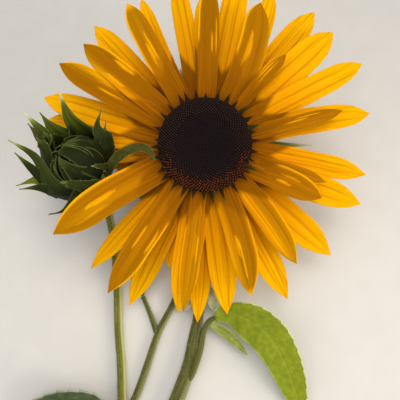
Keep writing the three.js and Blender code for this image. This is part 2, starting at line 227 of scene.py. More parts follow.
def cut_pith():
    """Cut pith: the spongy white middle of a fresh stem, with no gloss."""
    made = blank("cut_pith")
    skin = add(made, "Attribute", attribute_name="skin").outputs["Vector"]
    # Cells of the pith are about 0.3 mm wide, drawn at 0.6 mm so that they show.
    cells = add(made, "TexVoronoi", {"Vector": skin, "Scale": 1.6})
    tone = add(made, "ValToRGB", {0: cells}, [(0.0, "#e9ebcf"), (0.7, "#c8cf9c")])
    bump = add(made, "Bump", {"Height": cells, "Strength": 0.5, "Distance": 0.0003})
    look = {"Base Color": tone, "Normal": bump, "Roughness": 0.8}
    add(made, "OutputMaterial", {"Surface": add(made, "BsdfPrincipled", look)})
    return made


neck = 33.6                    # from the face of the head back to the top of the stem
main_line = [
    (0, 0, -neck, 6.6), (0, 0, -45, 4.9), (0, -8, -57, 4.5), (-0.2, -20, -63, 4.4),
    lying(-0.3, -37, 4.3), lying(-0.5, -58, 4.2), lying(-0.4, -86, 4), lying(-3, -118, 4),
    lying(-5.8, -141, 4.2), lying(-9, -156, 4.8), lying(-13, -174.7, 5.4), lying(-19, -190.3, 5.8),
    lying(-24, -202, 6), lying(-31, -219, 6.2), lying(-38, -238, 6.5), lying(-45, -256, 6.8),
    lying(-50, -273, 6.8),
]
bud_line = [
    lying(-44, -264, 4.4), lying(-51.5, -250, 4.1), lying(-58, -234, 3.7), lying(-61.8, -217.6, 3.5),
    lying(-64.5, -197.4, 3.4), lying(-66.8, -174.2, 3.4), lying(-70.7, -148.2, 3.3),
    lying(-73.7, -118.5, 3.3), (-77, -93, -42.1, 3.3), (-80.5, -70, -45, 3.2), (-81.5, -53, -34, 3.3),
    (-80.8, -39, -24, 3.5), (-80.6, -27, -14, 3.8), (-84.7, -22.1, -7.1, 4.2),
]
bud_fork = 0.14                # the share of the bud's stem that is one piece with the main stem
# The last colour of each stem is the painted highlight of its sunny right side.
stem_green = fresh_stem("stem_green", "#43461f", "#595c2c", "#777a3f", "#93946a")
main_stem = piece(
    "main_stem_skin",
    [tube(main_line, 220, 54), tube(bud_line, 40, 36, 0, bud_fork)],
    stem_green, cut_pith(),
)
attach(main_stem, "root")
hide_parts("main_stem")

# Bud's stem
# A thinner stem of the same make, that leaves the fork, runs along the floor and rises to the neck
# of the bud. It is a lighter green, and the short fork on it carries the side stem.
side_line = [
    lying(-63, -217, 3), lying(-58.5, -206, 3), lying(-54, -196, 3), lying(-50, -186, 3),
    lying(-44.8, -170.8, 2.9), lying(-37.5, -150, 2.8), lying(-28.9, -134, 2.6), lying(-22, -120, 2.4),
    lying(-17, -106, 2.1),
]
side_fork = 0.2                # the share of the side stem that is one piece with the bud's
# Its last colour is the painted highlight of its sunny right side.
bud_green = fresh_stem("bud_stem_green", "#50551a", "#6b6f22", "#92943e", "#d6d792")
bud_stem = piece(
    "bud_stem_skin",
    [tube(bud_line, 200, 40, bud_fork + 0.0016, 1), tube(side_line, 30, 32, 0, side_fork)],
    bud_green, bud_green,
)
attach(bud_stem, "root")
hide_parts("bud_stem")

# Side stem
# The thin, darker stem between the two, with a twig that leaves it half way. Both are green, ribbed
# and soft, and each ends in a leaf.
twig_line = [lying(-39, -152, 2.4), lying(-45, -138, 2.1), lying(-52, -124, 1.8)]
# Its last colour is the painted highlight of its sunny right side.
side_green = fresh_stem("side_stem_green", "#434820", "#575c2a", "#787d40", "#989c68")
side_stem = piece(
    "side_stem_skin",
    [tube(side_line, 120, 32, side_fork + 0.003, 1), tube(twig_line, 40, 28)],
    side_green, side_green,
)
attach(side_stem, "root")
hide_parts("side_stem")

# Bristles of the stems
# Stiff white hairs about 1.5 mm long that stand square on every stem, each rooted in its skin. They
# catch the light along the stem's edges.
hair_sides = (0, 2.094, 4.189)  # thirds of a turn


def repeated(one, corners, count):
    """The faces of count bodies alike, from those of one that has so many corners."""
    return np.where(one < 0, -1, one + corners * np.arange(count)[:, None, None]).reshape(-1, 4)


def bristles(roots, ways, length, wide):
    """Closed three-sided bristles: places of their feet, their directions and lengths, and how wide
    they are."""
    ways = unit(ways)
    across = unit(np.cross(ways, np.where(np.abs(ways[:, :1]) < 0.8, (1.0, 0, 0), (0, 1.0, 0))))
    over = np.cross(ways, across)
    corners = [roots + (across * math.cos(a) + over * math.sin(a)) * wide / 2 for a in hair_sides]
    verts = np.stack([*corners, roots + ways * length[:, None]], 1).reshape(-1, 3)
    one = np.array([(0, 1, 3, -1), (1, 2, 3, -1), (2, 0, 3, -1), (2, 1, 0, -1)])
    share = np.tile([(0, 0, 0), (0, 0, 0), (0, 0, 0), (1, 0, 0)], (len(roots), 1)).astype(float)
    return {"verts": verts, "faces": repeated(one, 4, len(roots)), "skin": verts, "share": share}


def above_floor(points):
    """Which points lie clear of the floor."""
    return (points @ lean.T + head_place)[:, 2] > 0.15


def on_stem(draw, stations, count, start, long, wide):
    """Bristles spread by chance over a stem from the share start on, leaning a little to its tip."""
    place, way, radius = along_stem(stations, draw.uniform(start, 1, count))
    some = draw.normal(size=(count, 3))
    out = unit(some - way * (some * way).sum(1, keepdims=True))
    root = place + out * radius[:, None] * 0.96
    aim = out + way * draw.normal(0.15, 0.2, (count, 1))
    length = draw.uniform(0.5, 1, count) * long
    keep = above_floor(root + aim * length[:, None])
    return bristles(root[keep], aim[keep], length[keep], wide)


def white_hair():
    """Plant hair: dry, glassy and almost white, greener at its foot."""
    made = blank("white_hair")
    share = add(made, "Attribute", attribute_name="share").outputs["Vector"]
    along = add(made, "SeparateXYZ", {0: share})
    tone = add(made, "ValToRGB", {0: along}, [(0.0, "#a9ac6a"), (0.5, "#e6e6c4")])
    look = {"Base Color": tone, "Roughness": 0.4, "Specular IOR Level": 0.4}
    add(made, "OutputMaterial", {"Surface": add(made, "BsdfPrincipled", look)})
    return made


hair = white_hair()
draw = np.random.default_rng(11)
stem_hair = piece(
    "stem_bristles",
    [
        on_stem(draw, main_line, 5200, 0.02, 1.5, 0.22),
        on_stem(draw, bud_line, 5200, 0.02, 1.9, 0.24),
        on_stem(draw, side_line, 1900, 0.02, 1.3, 0.2),
        on_stem(draw, twig_line, 350, 0.05, 1.2, 0.2),
    ],
    hair,
)
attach(stem_hair, "root")

# Cup of the head
# The swollen end of the stem that carries the disc: firm, green and smooth. The bracts and the rays
# stand on its rim.
rim = 36


def turned(profile, sides, frame_of=None):
    """A turned body from radii and heights, closed on its axis at both ends. frame_of gives the foot
    of its axis and its three directions, where they aren't the head's own."""
    points = np.array(profile, float)
    k = np.arange(sides)
    n = (k + 1) % sides
    angle = k * 2 * np.pi / sides
    flat = np.stack([np.cos(angle), np.sin(angle)], 1)
    rings = [np.concatenate([flat * r, np.full((sides, 1), h)], 1) for r, h in points[1:-1]]
    verts = np.vstack([(0, 0, points[0, 1]), *rings, (0, 0, points[-1, 1])])
    last = 1 + (len(rings) - 1) * sides
    faces = np.vstack([
        wall(1, len(rings), sides), fan(0, 1 + n, 1 + k), fan(last + k, last + n, len(verts) - 1),
    ])
    placed = verts if frame_of is None else frame_of[0] + verts @ np.stack(frame_of[1:])
    return {"verts": placed, "faces": faces, "skin": verts, "share": np.zeros_like(verts)}


def rounded(profile, steps):
    """The same profile with its corners smoothed by a curve through its points."""
    flat = np.array([(r, h, 0) for r, h in profile], float)
    place = on_line(flat, np.linspace(0, 1, steps))[0][:, :2]
    place[:, 0] = np.maximum(place[:, 0], 0)
    place[0, 0] = place[-1, 0] = 0
    return place


cup_profile = [
    (0, 0.2 - neck), (4, 0.2 - neck), (7.4, 0.6 - neck), (15, -28), (24, -20), (30, -12.6), (33, -9.5),
    (34, -5), (34, -1), (30, -0.2), (0, -0.2),
]
cup = piece("cup_skin", [turned(rounded(cup_profile, 60), 96)], stem_green)
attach(cup, "root")
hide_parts("receptacle")

# Bracts behind the rays
# Sixteen thin green scales in a ring under the rays, broad at the foot and drawn out to a fine
# point, every other one longer. Each has a fold along its middle and white hairs on its edges.
head_bracts = 16
first_bract = 358
behind_bud = 8                 # this one is short, to clear the rays that bend back there
turned_bracts = {0: 3, 6: -7}  # degrees by which these two stand out of line
long_bract, short_bract = (88, 12, 13), (68, 11.5, 11)


def blade(along, across, place, thick, seed, light=None, bunch=1.0):
    """A thin closed blade: place(t, x) gives its middle surface at t along (0 to 1) and x across
    (-1 to 1). It thins towards its edges, and bunch packs its rows to the tip."""
    steps = np.linspace(0, 1, along + 1) ** bunch
    t, x = np.meshgrid(steps, np.linspace(-1, 1, across + 1), indexing="ij")
    middle = place(t, x)
    up = unit(np.cross(np.gradient(middle, axis=0), np.gradient(middle, axis=1)))
    half = (thick / 2 * (1 - 0.6 * np.abs(x) ** 3))[:, :, None]
    verts = np.concatenate([(middle + up * half).reshape(-1, 3), (middle - up * half).reshape(-1, 3)])
    spine = middle[:, across // 2]
    run = np.broadcast_to(run_along(spine)[:, None], x.shape)
    offset = np.sign(x) * np.linalg.norm(middle - spine[:, None], axis=2)
    skin = np.stack([offset, run, np.full(x.shape, seed)], 2).reshape(-1, 3)
    # The third share is painted light and shade, which the materials turn into colour.
    painted_lit = np.zeros_like(x) if light is None else light(t, x)
    share = np.stack([t, x, painted_lit], 2).reshape(-1, 3)
    row, lower = across + 1, (along + 1) * (across + 1)
    a = (np.arange(along)[:, None] * row + np.arange(across)).ravel()
    first, j = np.arange(along) * row, np.arange(across)
    last, end = first + across, along * row + j
    faces = np.vstack([
        np.stack([a, a + row, a + row + 1, a + 1], 1),
        lower + np.stack([a, a + 1, a + row + 1, a + row], 1),
        np.stack([first, lower + first, lower + first + row, first + row], 1),
        np.stack([last, last + row, lower + last + row, lower + last], 1),
        np.stack([j, j + 1, lower + j + 1, lower + j], 1),
        np.stack([end, lower + end, lower + end + 1, end + 1], 1),
    ])
    return {
        "verts": verts, "faces": faces, "skin": np.vstack([skin, skin]), "share": np.vstack([share, share]),
        "middle": middle, "up": up,
    }


def edge_hair(draw, made, per_row, long, wide, start=0.05):
    """White hairs along both edges of a blade from the share start on, pointing out and to its tip."""
    middle, found = made["middle"], []
    rows = len(middle)
    for side, inner in ((0, 1), (-1, -2)):
        out = unit(middle[:, side] - middle[:, inner])
        way = unit(np.gradient(middle[:, side], axis=0))
        spot = draw.uniform(start * (rows - 1), rows - 1.001, int(rows * per_row))
        i = spot.astype(int)
        w = (spot - i)[:, None]
        root = middle[i, side] * (1 - w) + middle[i + 1, side] * w - out[i] * 0.1
        aim = out[i] + way[i] * draw.uniform(0.3, 1.2, (len(i), 1))
        aim += made["up"][i, side] * draw.normal(0, 0.5, (len(i), 1))
        found.append(bristles(root, aim, draw.uniform(0.5, 1, len(i)) * long, wide))
    return found


def bract_tissue(name, foot, middle, tip, rib, rim_colour, tip_from=0.6):
    """Bract: a firm, matt green scale, ribbed lengthwise, darker at its foot, paler along its thin
    edges and from the share tip_from on to its tip, and painted brighter where light would fall through it."""
    made = blank(name)
    skin = add(made, "Attribute", attribute_name="skin").outputs["Vector"]
    share = add(made, "Attribute", attribute_name="share").outputs["Vector"]
    along, across, through = add(made, "SeparateXYZ", {0: share}).outputs
    # Ribs stand about 1 mm apart and run the whole length.
    long = add(made, "Mapping", {"Vector": skin, "Scale": (1, 0.05, 1)})
    ribs = add(made, "TexNoise", {"Vector": long, "Scale": 1.1, "Detail": 3.0, "Roughness": 0.65})
    tone = add(made, "ValToRGB", {0: along}, [(0.0, foot), (tip_from, middle), (1.0, tip)])
    pale = add(made, "MapRange", {"Value": ribs, "From Min": 0.52, "From Max": 0.72, "To Max": 0.6})
    mixed = add(made, "Mix", {0: pale, 6: tone, 7: linear(rib)}, data_type="RGBA").outputs[2]
    off = add(made, "Math", {0: across}, operation="ABSOLUTE")
    edge = add(made, "MapRange", {"Value": off, "From Min": 0.8, "To Max": 0.7})
    mixed = add(made, "Mix", {0: edge, 6: mixed, 7: linear(rim_colour)}, data_type="RGBA").outputs[2]
    # Painted light: where the light share is high, the green turns brighter and paler, as if light fell
    # through.
    painted_through_light = add(made, "ValToRGB", {0: through}, [(0.5, "#7d8a2c"), (1.0, "#d9dcb8")])
    painted_lit = add(made, "Math", {0: through, 1: 2.0}, operation="MULTIPLY", use_clamp=True)
    mixed = add(made, "Mix", {0: painted_lit, 6: mixed, 7: painted_through_light}, data_type="RGBA").outputs[2]
    bump = add(made, "Bump", {"Height": ribs, "Strength": 0.6, "Distance": 0.0004})
    look = {"Base Color": mixed, "Normal": bump, "Roughness": 0.6, "Specular IOR Level": 0.08}
    add(made, "OutputMaterial", {"Surface": add(made, "BsdfPrincipled", look)})
    return made


def standing(turn, far, across, height):
    """Places round the head, from an angle, how far out and across from it they are, and how high."""
    out = np.array((math.cos(turn), math.sin(turn), 0))
    side = np.array((-math.sin(turn), math.cos(turn), 0))
    flat = far[..., None] * out + across[..., None] * side
    return flat + np.stack([np.zeros_like(height), np.zeros_like(height), height], -1)


def head_bract(k):
    """Bract k of the ring, from its reach, its width and how far its tip falls."""
    reach, width, fall = long_bract if k % 2 == 0 and k != behind_bud else short_bract
    out_of_line = turned_bracts.get(k, 0)
    turn = math.radians(first_bract + k * 360 / head_bracts + out_of_line + draw.normal(0, 1.5))
    foot = rim - 3

    def place(t, x):
        half = np.maximum(width / 2 * np.maximum(1 - t, 0) ** 0.85 * (1 - 0.25 * t), 0.25)
        height = -10.8 - fall * t ** 0.9 + x ** 2 * half * 0.2 - 0.35 * np.exp(-(x / 0.12) ** 2)
        return standing(turn, foot + (reach - foot) * t, x * half, height)

    return blade(28, 12, place, 0.8, k, bunch=0.9)


draw = np.random.default_rng(23)
bracts = [head_bract(k) for k in range(head_bracts)]
bract_green = bract_tissue("bract_green", "#4a5524", "#66733a", "#c6cca2", "#7f8a50", "#cdd2ae")
ring_of_bracts = piece("head_bract_ring", bracts, bract_green)
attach(ring_of_bracts, "root")
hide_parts("head_bracts")
bract_hair = [h for one in bracts for h in edge_hair(draw, one, 5, 1.8, 0.16)]
bract_hair = piece("head_bract_hairs", bract_hair, hair)
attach(bract_hair, "root")

# Rays
# The yellow strap-like petals, thin and soft, in three whorls on the rim of the cup, creased and
# finely ribbed lengthwise. Their light and shade are painted: where the sun would fall through one
# layer they are painted bright yellow, and where layers lie over each other, or in the shade round
# the disc, they are painted amber.
# The middle and reach of the round zone round the disc that is painted in shade.
shade_middle = np.array((-2.5, 7.0))
shade_reach = 57
# A painted slit of light in a ray: where it starts, its length, its place across, its slant and
# its width.
slit_low, slit_high = (0.34, 0.2, -0.75, -0.1, 0.08), (0.5, 0.45, 0.75, 0.1, 0.17)


def ray(row, base, arch, foot, widest, seed):
    """One ray: degrees round the head, reach, width, height its tip gains, swing towards a larger
    angle, how much painted light it has (0 to 1), how much painted light one stripe of it has and
    where, and from where its tip is painted lit, where 2 is not at all. foot is the share of its width
    that it has at the rim."""
    angle, reach, width, tip, swing, painted_lit, lit_stripe, lit_stripe_at, tip_lit = row
    turn = math.radians(angle)
    out = np.array((math.cos(turn), math.sin(turn)))
    side = np.array((-math.sin(turn), math.cos(turn)))
    draw = np.random.default_rng(seed)
    creases = draw.uniform(0.24, 0.46, 2) * (-1, 1)
    sway, wave, phase = draw.normal(0, 0.7), draw.uniform(0.1, 0.35), draw.uniform(0, 6)
    roll, bright_edge = draw.normal(0.06, 0.03), draw.choice((-1, 1))
    blunt = 3.2 + 0.9 * math.sin(turn)
    slits = [draw.uniform(slit_low, slit_high) for _ in range(2)]
    flame = draw.uniform(-0.6, 0.6)

    def place(t, x):
        grow = foot + (1 - foot) * np.sin(np.minimum(t / widest, 1) * np.pi / 2)
        narrow = 1 - (np.maximum(t - 0.6, 0) / 0.4) ** blunt
        half = width / 2 * np.maximum(grow * narrow, 0.03) * (1 + 0.02 * np.sin(14 * t + phase * (1 + x)))
        gone = np.minimum(1, 3 * t)
        groove = 0.12 * half * gone * (x ** 2 - 1)
        crease = sum(-0.5 * np.exp(-((x - c) / 0.09) ** 2) for c in creases)
        crease = crease * gone * np.minimum(1, 4 * (1 - t))
        ribs = 0.12 * np.cos(x * 15 + phase) * gone
        ripple = wave * half / 6 * np.sin(9 * t + phase) * x * np.abs(x) + roll * x * half
        height = base + arch * np.sin(np.pi * t) + tip * t ** 1.5 + groove + crease + ribs + ripple
        far = rim - 1.5 + (reach - rim + 1.5) * t
        shift = x * half + swing * t ** 2 + sway * np.sin(np.pi * t)
        return standing(turn, far, shift, height)

    # Painted light and shade: the shade round the disc with a flame-shaped edge on each ray, and lit
    # stripes, tip, edges and slits.
    def light(t, x):
        far, shift = rim + (reach - rim) * t, x * width * 0.4 + swing * t ** 2
        spot = far[..., None] * out + shift[..., None] * side
        away = np.linalg.norm(spot - shade_middle, axis=2) - shade_reach + 6 - 13 * np.abs(x - flame)
        stripe = lit_stripe * np.exp(-((x - lit_stripe_at) / 0.3) ** 2) * np.clip(3 - 3 * t, 0, 1)
        ending = np.clip((t - tip_lit) / 0.06, 0, 1)
        edge = np.clip((x * bright_edge - 0.8) / 0.1, 0, 1)
        for start, long, across, slant, wide in slits:
            go = (t - start) / long
            inside = np.sin(np.pi * np.clip(go, 0, 1)) ** 0.5 * wide
            edge = np.maximum(edge, np.clip((inside - np.abs(x - across - slant * go)) / 0.05, 0, 1))
        # Painted shade in the creases.
        fold = 1 - 0.6 * sum(np.exp(-((x - c) / 0.06) ** 2) for c in creases) * np.clip(5 - 5 * t, 0, 1)
        return np.clip(painted_lit + stripe + ending + edge, 0, 1) * np.clip(away / 5, 0, 1) * fold

    return blade(46, 22, place, 0.55, seed % 97, light, bunch=0.92)


def petal():
    """Ray petal: soft, almost matt tissue with fine ribs, painted amber where it is shaded by the
    others and yellow where it is lit, and with a painted highlight along its edges."""
    made = blank("ray_petal")
    skin = add(made, "Attribute", attribute_name="skin").outputs["Vector"]
    share = add(made, "Attribute", attribute_name="share").outputs["Vector"]
    spots = add(made, "SeparateXYZ", {0: share}).outputs
    run = add(made, "SeparateXYZ", {0: skin}).outputs[1]
    far = add(made, "Math", {0: run, 1: 1 / 110}, operation="MULTIPLY")
    # Painted shade and light: the shaded ramp is darkest at the foot, in the shade round the disc, and the
    # light share mixes in the sunlit yellow.
    shaded = add(made, "ValToRGB", {0: far}, [
        (0.0, "#824b00"), (0.14, "#8a5200"), (0.3, "#975e00"), (0.6, "#9a6400"), (1.0, "#a06d00"),
    ])
    sunlit = add(made, "ValToRGB", {0: far}, [
        (0.0, "#e48e00"), (0.3, "#f0a100"), (0.6, "#f7b100"), (1.0, "#f9be00"),
    ])
    tone = add(made, "Mix", {0: spots[2], 6: shaded, 7: sunlit}, data_type="RGBA").outputs[2]
    # Fine ribs are about 0.7 mm apart, drawn at twice that so that they show, and run its whole length.
    long = add(made, "Mapping", {"Vector": skin, "Scale": (1, 0.02, 1)})
    ribs = add(made, "TexNoise", {"Vector": long, "Scale": 0.7, "Detail": 4.0, "Roughness": 0.7})
    wide = add(made, "TexNoise", {"Vector": long, "Scale": 0.35, "Detail": 1.0})
    dim = add(made, "MapRange", {"Value": ribs, "From Min": 0.52, "From Max": 0.66, "To Max": 0.5})
    deep = add(made, "Mix", {0: dim, 6: tone, 7: linear("#b46a00")}, data_type="RGBA").outputs[2]
    warm = add(made, "MapRange", {"Value": wide, "From Min": 0.5, "From Max": 0.75, "To Max": 0.3})
    skin_tone = add(made, "Mix", {0: warm, 6: deep, 7: linear("#da8400")}, data_type="RGBA").outputs[2]
    # Painted highlight: a pale yellow along the edges, growing towards the tip.
    side = add(made, "Math", {0: spots[1]}, operation="ABSOLUTE")
    edge = add(made, "MapRange", {"Value": side, "From Min": 0.9})
    pale = add(made, "Math", {0: edge, 1: far}, operation="MULTIPLY")
    edge_highlight = add(made, "Math", {0: pale, 1: 0.45}, operation="MULTIPLY")
    skin_tone = add(made, "Mix", {0: edge_highlight, 6: skin_tone, 7: linear("#f6c02a")}, data_type="RGBA").outputs[2]
    bump = add(made, "Bump", {"Height": ribs, "Strength": 0.5, "Distance": 0.0004})
    look = {"Base Color": skin_tone, "Normal": bump, "Roughness": 0.65, "Specular IOR Level": 0.03}
    add(made, "OutputMaterial", {"Surface": add(made, "BsdfPrincipled", look)})
    return made


# Each whorl has the height of its foot, its arch, the share of its width at the foot, the share of its
# length where it is broadest, and its rays.
whorls = {
    "front": (-1.5, 5, 0.86, 0.5, [
        (12.7, 107, 12, 6, 2, 0.05, 0.15, -0.5, 2), (48, 92, 10, 5, 0, 0.1, 0, 0, 2),
        (60.4, 113, 23, 8, 16, 0.1, 0.5, -1.1, 2), (88, 119, 16, 9, 1, 0, 0, 0, 2),
        (119, 121, 17, 8, 0, 0.15, 0.1, 0, 0.93), (140.7, 118, 19, 9, 0, 0.02, 0.7, 0.85, 2),
        (151.2, 125, 18.5, 9, 0, 0, 0.85, -0.7, 2), (206.9, 124, 25, 34, 11, 0.08, 0.3, 0.15, 2),
        (237, 133, 20, 12, 0, 0.05, 0.1, 0, 2), (262.6, 127, 14, 10, 0, 0.28, 0.2, 0.3, 2),
        (290.8, 119, 21, 10, -8, 0.15, 0.5, -0.8, 0.93), (313.5, 113, 19, 8, -12, 0.3, 0.9, -0.45, 2),
        (335.2, 97, 19.5, 7, 0, 0.1, 0, 0, 2), (342.5, 96, 11, 5, 0, 0.15, 0, 0, 2),
    ]),
    "middle": (-4.3, 1.2, 1, 0.6, [
        (*row, 1, 0, 0, 2) for row in (
            (14.3, 131.5, 20, -3, -7), (27.7, 139.5, 19, -3, 0), (41.5, 134.5, 24, -3, 0),
            (78.3, 136, 21, -2, 0), (91.5, 117, 12, -3, 0), (113.4, 126, 12, -3, 0),
            (132.6, 128, 18, -3, 0), (163, 134, 20.5, -8, 0), (175.5, 86, 15, -8, 0),
            (186, 80, 13, -9, 0), (227, 132, 15, -5, 0), (260.4, 132, 22, -2, 1),
            (278.8, 133, 21.5, -2, -3), (298.4, 136, 22, -2, 0), (338.7, 130.5, 22, -3, 2),
            (352.2, 128, 18, -3, -5),
        )
    ]),
    "back": (-7.2, 0, 1, 0.7, [
        (*row, 1, 0, 0, 2) for row in (
            (51, 142, 21, -12, 0), (61.6, 139, 17, -12, 12), (99.8, 139, 16.5, -12, 0),
            (169.9, 132, 19, -16, 0), (179, 101, 15, -24, 0), (188.5, 97, 12, -26, 0),
            (244.5, 141, 20, -10, 0), (253, 102, 16, -12, 0), (267.6, 141, 18.5, -8, 0),
            (319.5, 133.5, 24, -9, 0),
        )
    ]),
}
ray_petal = petal()
for whorl, (base, arch, foot, widest, rows) in whorls.items():
    first_seed = 700 + 1000 * len(whorl)
    rays = [ray(row, base, arch, foot, widest, first_seed + 31 * k) for k, row in enumerate(rows)]
    made = piece("ray_petals_" + whorl, rays, ray_petal)
    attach(made, "root")
    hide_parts("rays_" + whorl)

# Disc
# The dark middle of the head: thirteen hundred small florets packed in spirals on a saucer-shaped
# base. The middle ones are closed and almost black, the next stand taller with brown tubes, and the
# lowest ones at the rim are open, red-brown with pink tips.
florets = 1300
golden_turn = math.radians(137.508)
disc_top = [(rim - 0.8, 3.6), (31, 5.4), (24, 6), (16, 5.2), (8, 4.2), (0, 4)]
disc_profile = [(0, 0.2), (20, 0.2), (rim - 0.4, 0.3), (rim + 0.2, 1.4), *disc_top]


def disc_height(radius):
    """Height of the disc's base at a radius."""
    return np.interp(radius, *zip(*disc_top[::-1]))


def dark_floret(name, colours, gloss, scale):
    """Disc floret: dark velvety tissue with little gloss, coloured from its foot to its tip."""
    made = blank(name)
    skin = add(made, "Attribute", attribute_name="skin").outputs["Vector"]
    share = add(made, "Attribute", attribute_name="share").outputs["Vector"]
    along = add(made, "SeparateXYZ", {0: share})
    # The specks of the real tissue are too fine to show, so they are drawn 0.3 to 0.7 mm wide.
    speck = add(made, "TexNoise", {"Vector": skin, "Scale": scale, "Detail": 2.0})
    up = add(made, "ValToRGB", {0: along}, list(zip((0.0, 0.5, 1.0), colours)))
    amount = add(made, "MapRange", {"Value": speck, "From Min": 0.45, "From Max": 0.75, "To Max": 0.5})
    tone = add(made, "Mix", {0: amount, 6: up, 7: linear(colours[2])}, data_type="RGBA").outputs[2]
    bump = add(made, "Bump", {"Height": speck, "Strength": 0.3, "Distance": 0.0003})
    look = {"Base Color": tone, "Normal": bump, "Roughness": gloss, "Specular IOR Level": 0.08}
    add(made, "OutputMaterial", {"Surface": add(made, "BsdfPrincipled", look)})
    return made


def studs(middles, axes, rings, sides=6):
    """Small turned florets, one at each place, from the radii, heights and tone of each ring and of
    the tip, which has no radius."""
    axes = unit(axes)
    across = unit(np.cross(axes, (0.0, 1.0, 0.0)))
    over = np.cross(axes, across)
    angle = np.arange(sides) * 2 * np.pi / sides
    circle = across[:, None] * np.cos(angle)[:, None] + over[:, None] * np.sin(angle)[:, None]
    verts = [
        middles[:, None] + circle * radius[:, None, None] + axes[:, None] * height[:, None, None]
        for radius, height, _ in rings[:-1]
    ]
    ends = rings[-1], rings[0]
    verts = np.concatenate(verts + [(middles + axes * end[1][:, None])[:, None] for end in ends], 1)
    tones = np.repeat([ring[2] for ring in (*rings[:-1], *ends)], [sides] * (len(rings) - 1) + [1, 1])
    each, last = verts.shape[1], (len(rings) - 2) * sides
    k = np.arange(sides)
    n = (k + 1) % sides
    one = np.vstack([
        wall(0, len(rings) - 1, sides), fan(last + k, last + n, each - 2), fan(n, k, each - 1),
    ])
    flat = verts.reshape(-1, 3)
    share = np.zeros_like(flat)
    share[:, 0] = np.tile(tones, len(middles))
    return {"verts": flat, "faces": repeated(one, each, len(middles)), "skin": flat, "share": share}


def floret_kind(chosen, size, foot, *rings):
    """The chosen florets of the disc: the radius of their foot, 0.8 mm down in the base, and the radius
    and height of each ring and of the tip, as shares of their size, with tones (0 to 1)."""
    size = size[chosen]
    levels = [(size * foot, np.full(len(size), -0.8), 0.0)]
    levels += [(size * wide, size * high, tone) for wide, high, tone in rings]
    return studs(spread[chosen], upright[chosen], levels)


draw = np.random.default_rng(41)
number = np.arange(florets) + 0.5
out_to = (rim - 1.2) * np.sqrt(number / florets)
spin = number * golden_turn
spread = np.stack([out_to * np.cos(spin), out_to * np.sin(spin), disc_height(out_to)], 1)
slope = np.stack([np.cos(spin), np.sin(spin), np.zeros(florets)], 1)
upright = slope * ((out_to / rim) ** 4 * 0.9 - (out_to / rim) * 0.12)[:, None] + (0, 0, 1)
wobble = draw.uniform(0.85, 1.15, florets)
low_side = -np.sin(spin - 0.1)
open_from = 30.2 - 3.2 * np.clip(low_side, 0, 1)
opened = (out_to > open_from + 12 * (wobble - 1)) & (low_side > 0.3 + 1.5 * (wobble - 1))
shut_to = 23
tall = (out_to > shut_to + 8 * (wobble - 1)) & ~opened
shut = ~opened & ~tall
black, brown, red = (
    dark_floret("closed_floret", ("#171012", "#1d1518", "#21181b"), 0.9, 1.5),
    dark_floret("tall_floret", ("#1b1312", "#2d201e", "#42322c"), 0.7, 1.5),
    dark_floret("open_floret", ("#170906", "#3b1b10", "#62341f"), 0.6, 1.8),
)
shut_size = (0.72 + 0.2 * out_to / shut_to) * wobble
tube_size = 0.78 * wobble
closed = floret_kind(shut, shut_size, 0.95, (1, 0.5, 0.4), (0.6, 0.85, 0.8), (0, 1, 1.0))
tubes = floret_kind(tall, tube_size, 0.8, (1, 1, 0.3), (0.5, 1.7, 0.6), (0.42, 2.1, 1.0), (0, 2.35, 1.0))
cups = floret_kind(
    opened, tube_size, 0.7, (0.75, 1.4, 0.3), (1.15, 2, 0.7), (0.45, 2.6, 0.5), (0, 3.2, 1.0),
)
disc_plate = turned(rounded(disc_profile, 70), 120)
disc = piece("disc_florets_closed", [disc_plate, closed], black)
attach(disc, "root")
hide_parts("disc")
disc_tubes = piece("disc_florets_tall", [tubes], brown)
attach(disc_tubes, "root")
disc_open = piece("disc_florets_open", [cups], red)
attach(disc_open, "root")
lobes = []
for _ in range(2):
    lean_out = draw.normal(0, 0.5, (opened.sum(), 3)) + upright[opened] * 1.2
    tops = spread[opened] + upright[opened] * tube_size[opened][:, None] * 2.7
    tops += draw.normal(0, 0.25, tops.shape)
    one = np.ones(len(tops))
    rings = (0.16, 0, 0.0), (0.28, 0.5, 0.6), (0, 0.95, 1.0)
    lobe = [(wide * one, high * one, tone) for wide, high, tone in rings]
    lobes.append(studs(tops, lean_out, lobe, 5))
pink = dark_floret("pink_stigma", ("#3c1d12", "#6e3f28", "#935f45"), 0.6, 3.0)
disc_tips = piece("disc_floret_tips", lobes, pink)
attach(disc_tips, "root")

# Chaff
# Stiff pointed scales between the outer florets and the rays, dark brown and matt and longest at the
# bottom, whose tips lie over the feet of the rays in a ring of dark points. Four are broad and green.
chaff_tips = 30
green_at = (42, 20, 333, 279)


def chaff(angle, long, wide, seed):
    """One scale: degrees round the head, how far it passes the rim, and its width."""

    def place(t, x):
        half = np.maximum(wide / 2 * (1 - t ** 1.2), 0.05)
        height = 3.8 + 1.2 * np.sin(np.minimum(t * 1.6, 1.57)) - 0.35 * x ** 2 * half
        return standing(math.radians(angle), rim - 5 + (long + 5) * t, x * half, height)

    return blade(12, 6, place, 0.5, seed)


draw = np.random.default_rng(53)
dark_scales = []
for k in range(chaff_tips):
    angle = k * 360 / chaff_tips + 4 + draw.normal(0, 2)
    longer = 3 * max(0, -math.sin(math.radians(angle)))
    dark_scales.append(chaff(angle, draw.uniform(3, 7.5) + longer, draw.uniform(4.2, 6.2), k))
green_scales = [chaff(angle, 8.5, 6, 50 + angle) for angle in green_at]
chaff_brown = bract_tissue("chaff_brown", "#1a1006", "#241707", "#35240b", "#32210b", "#2a1d0a")
chaff_green = bract_tissue("chaff_green", "#1c1a08", "#2a2c0b", "#454a12", "#3d4012", "#4a4d16")
scales = piece("chaff_scales_dark", dark_scales, chaff_brown)
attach(scales, "root")
scales = piece("chaff_scales_green", green_scales, chaff_green)
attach(scales, "root")

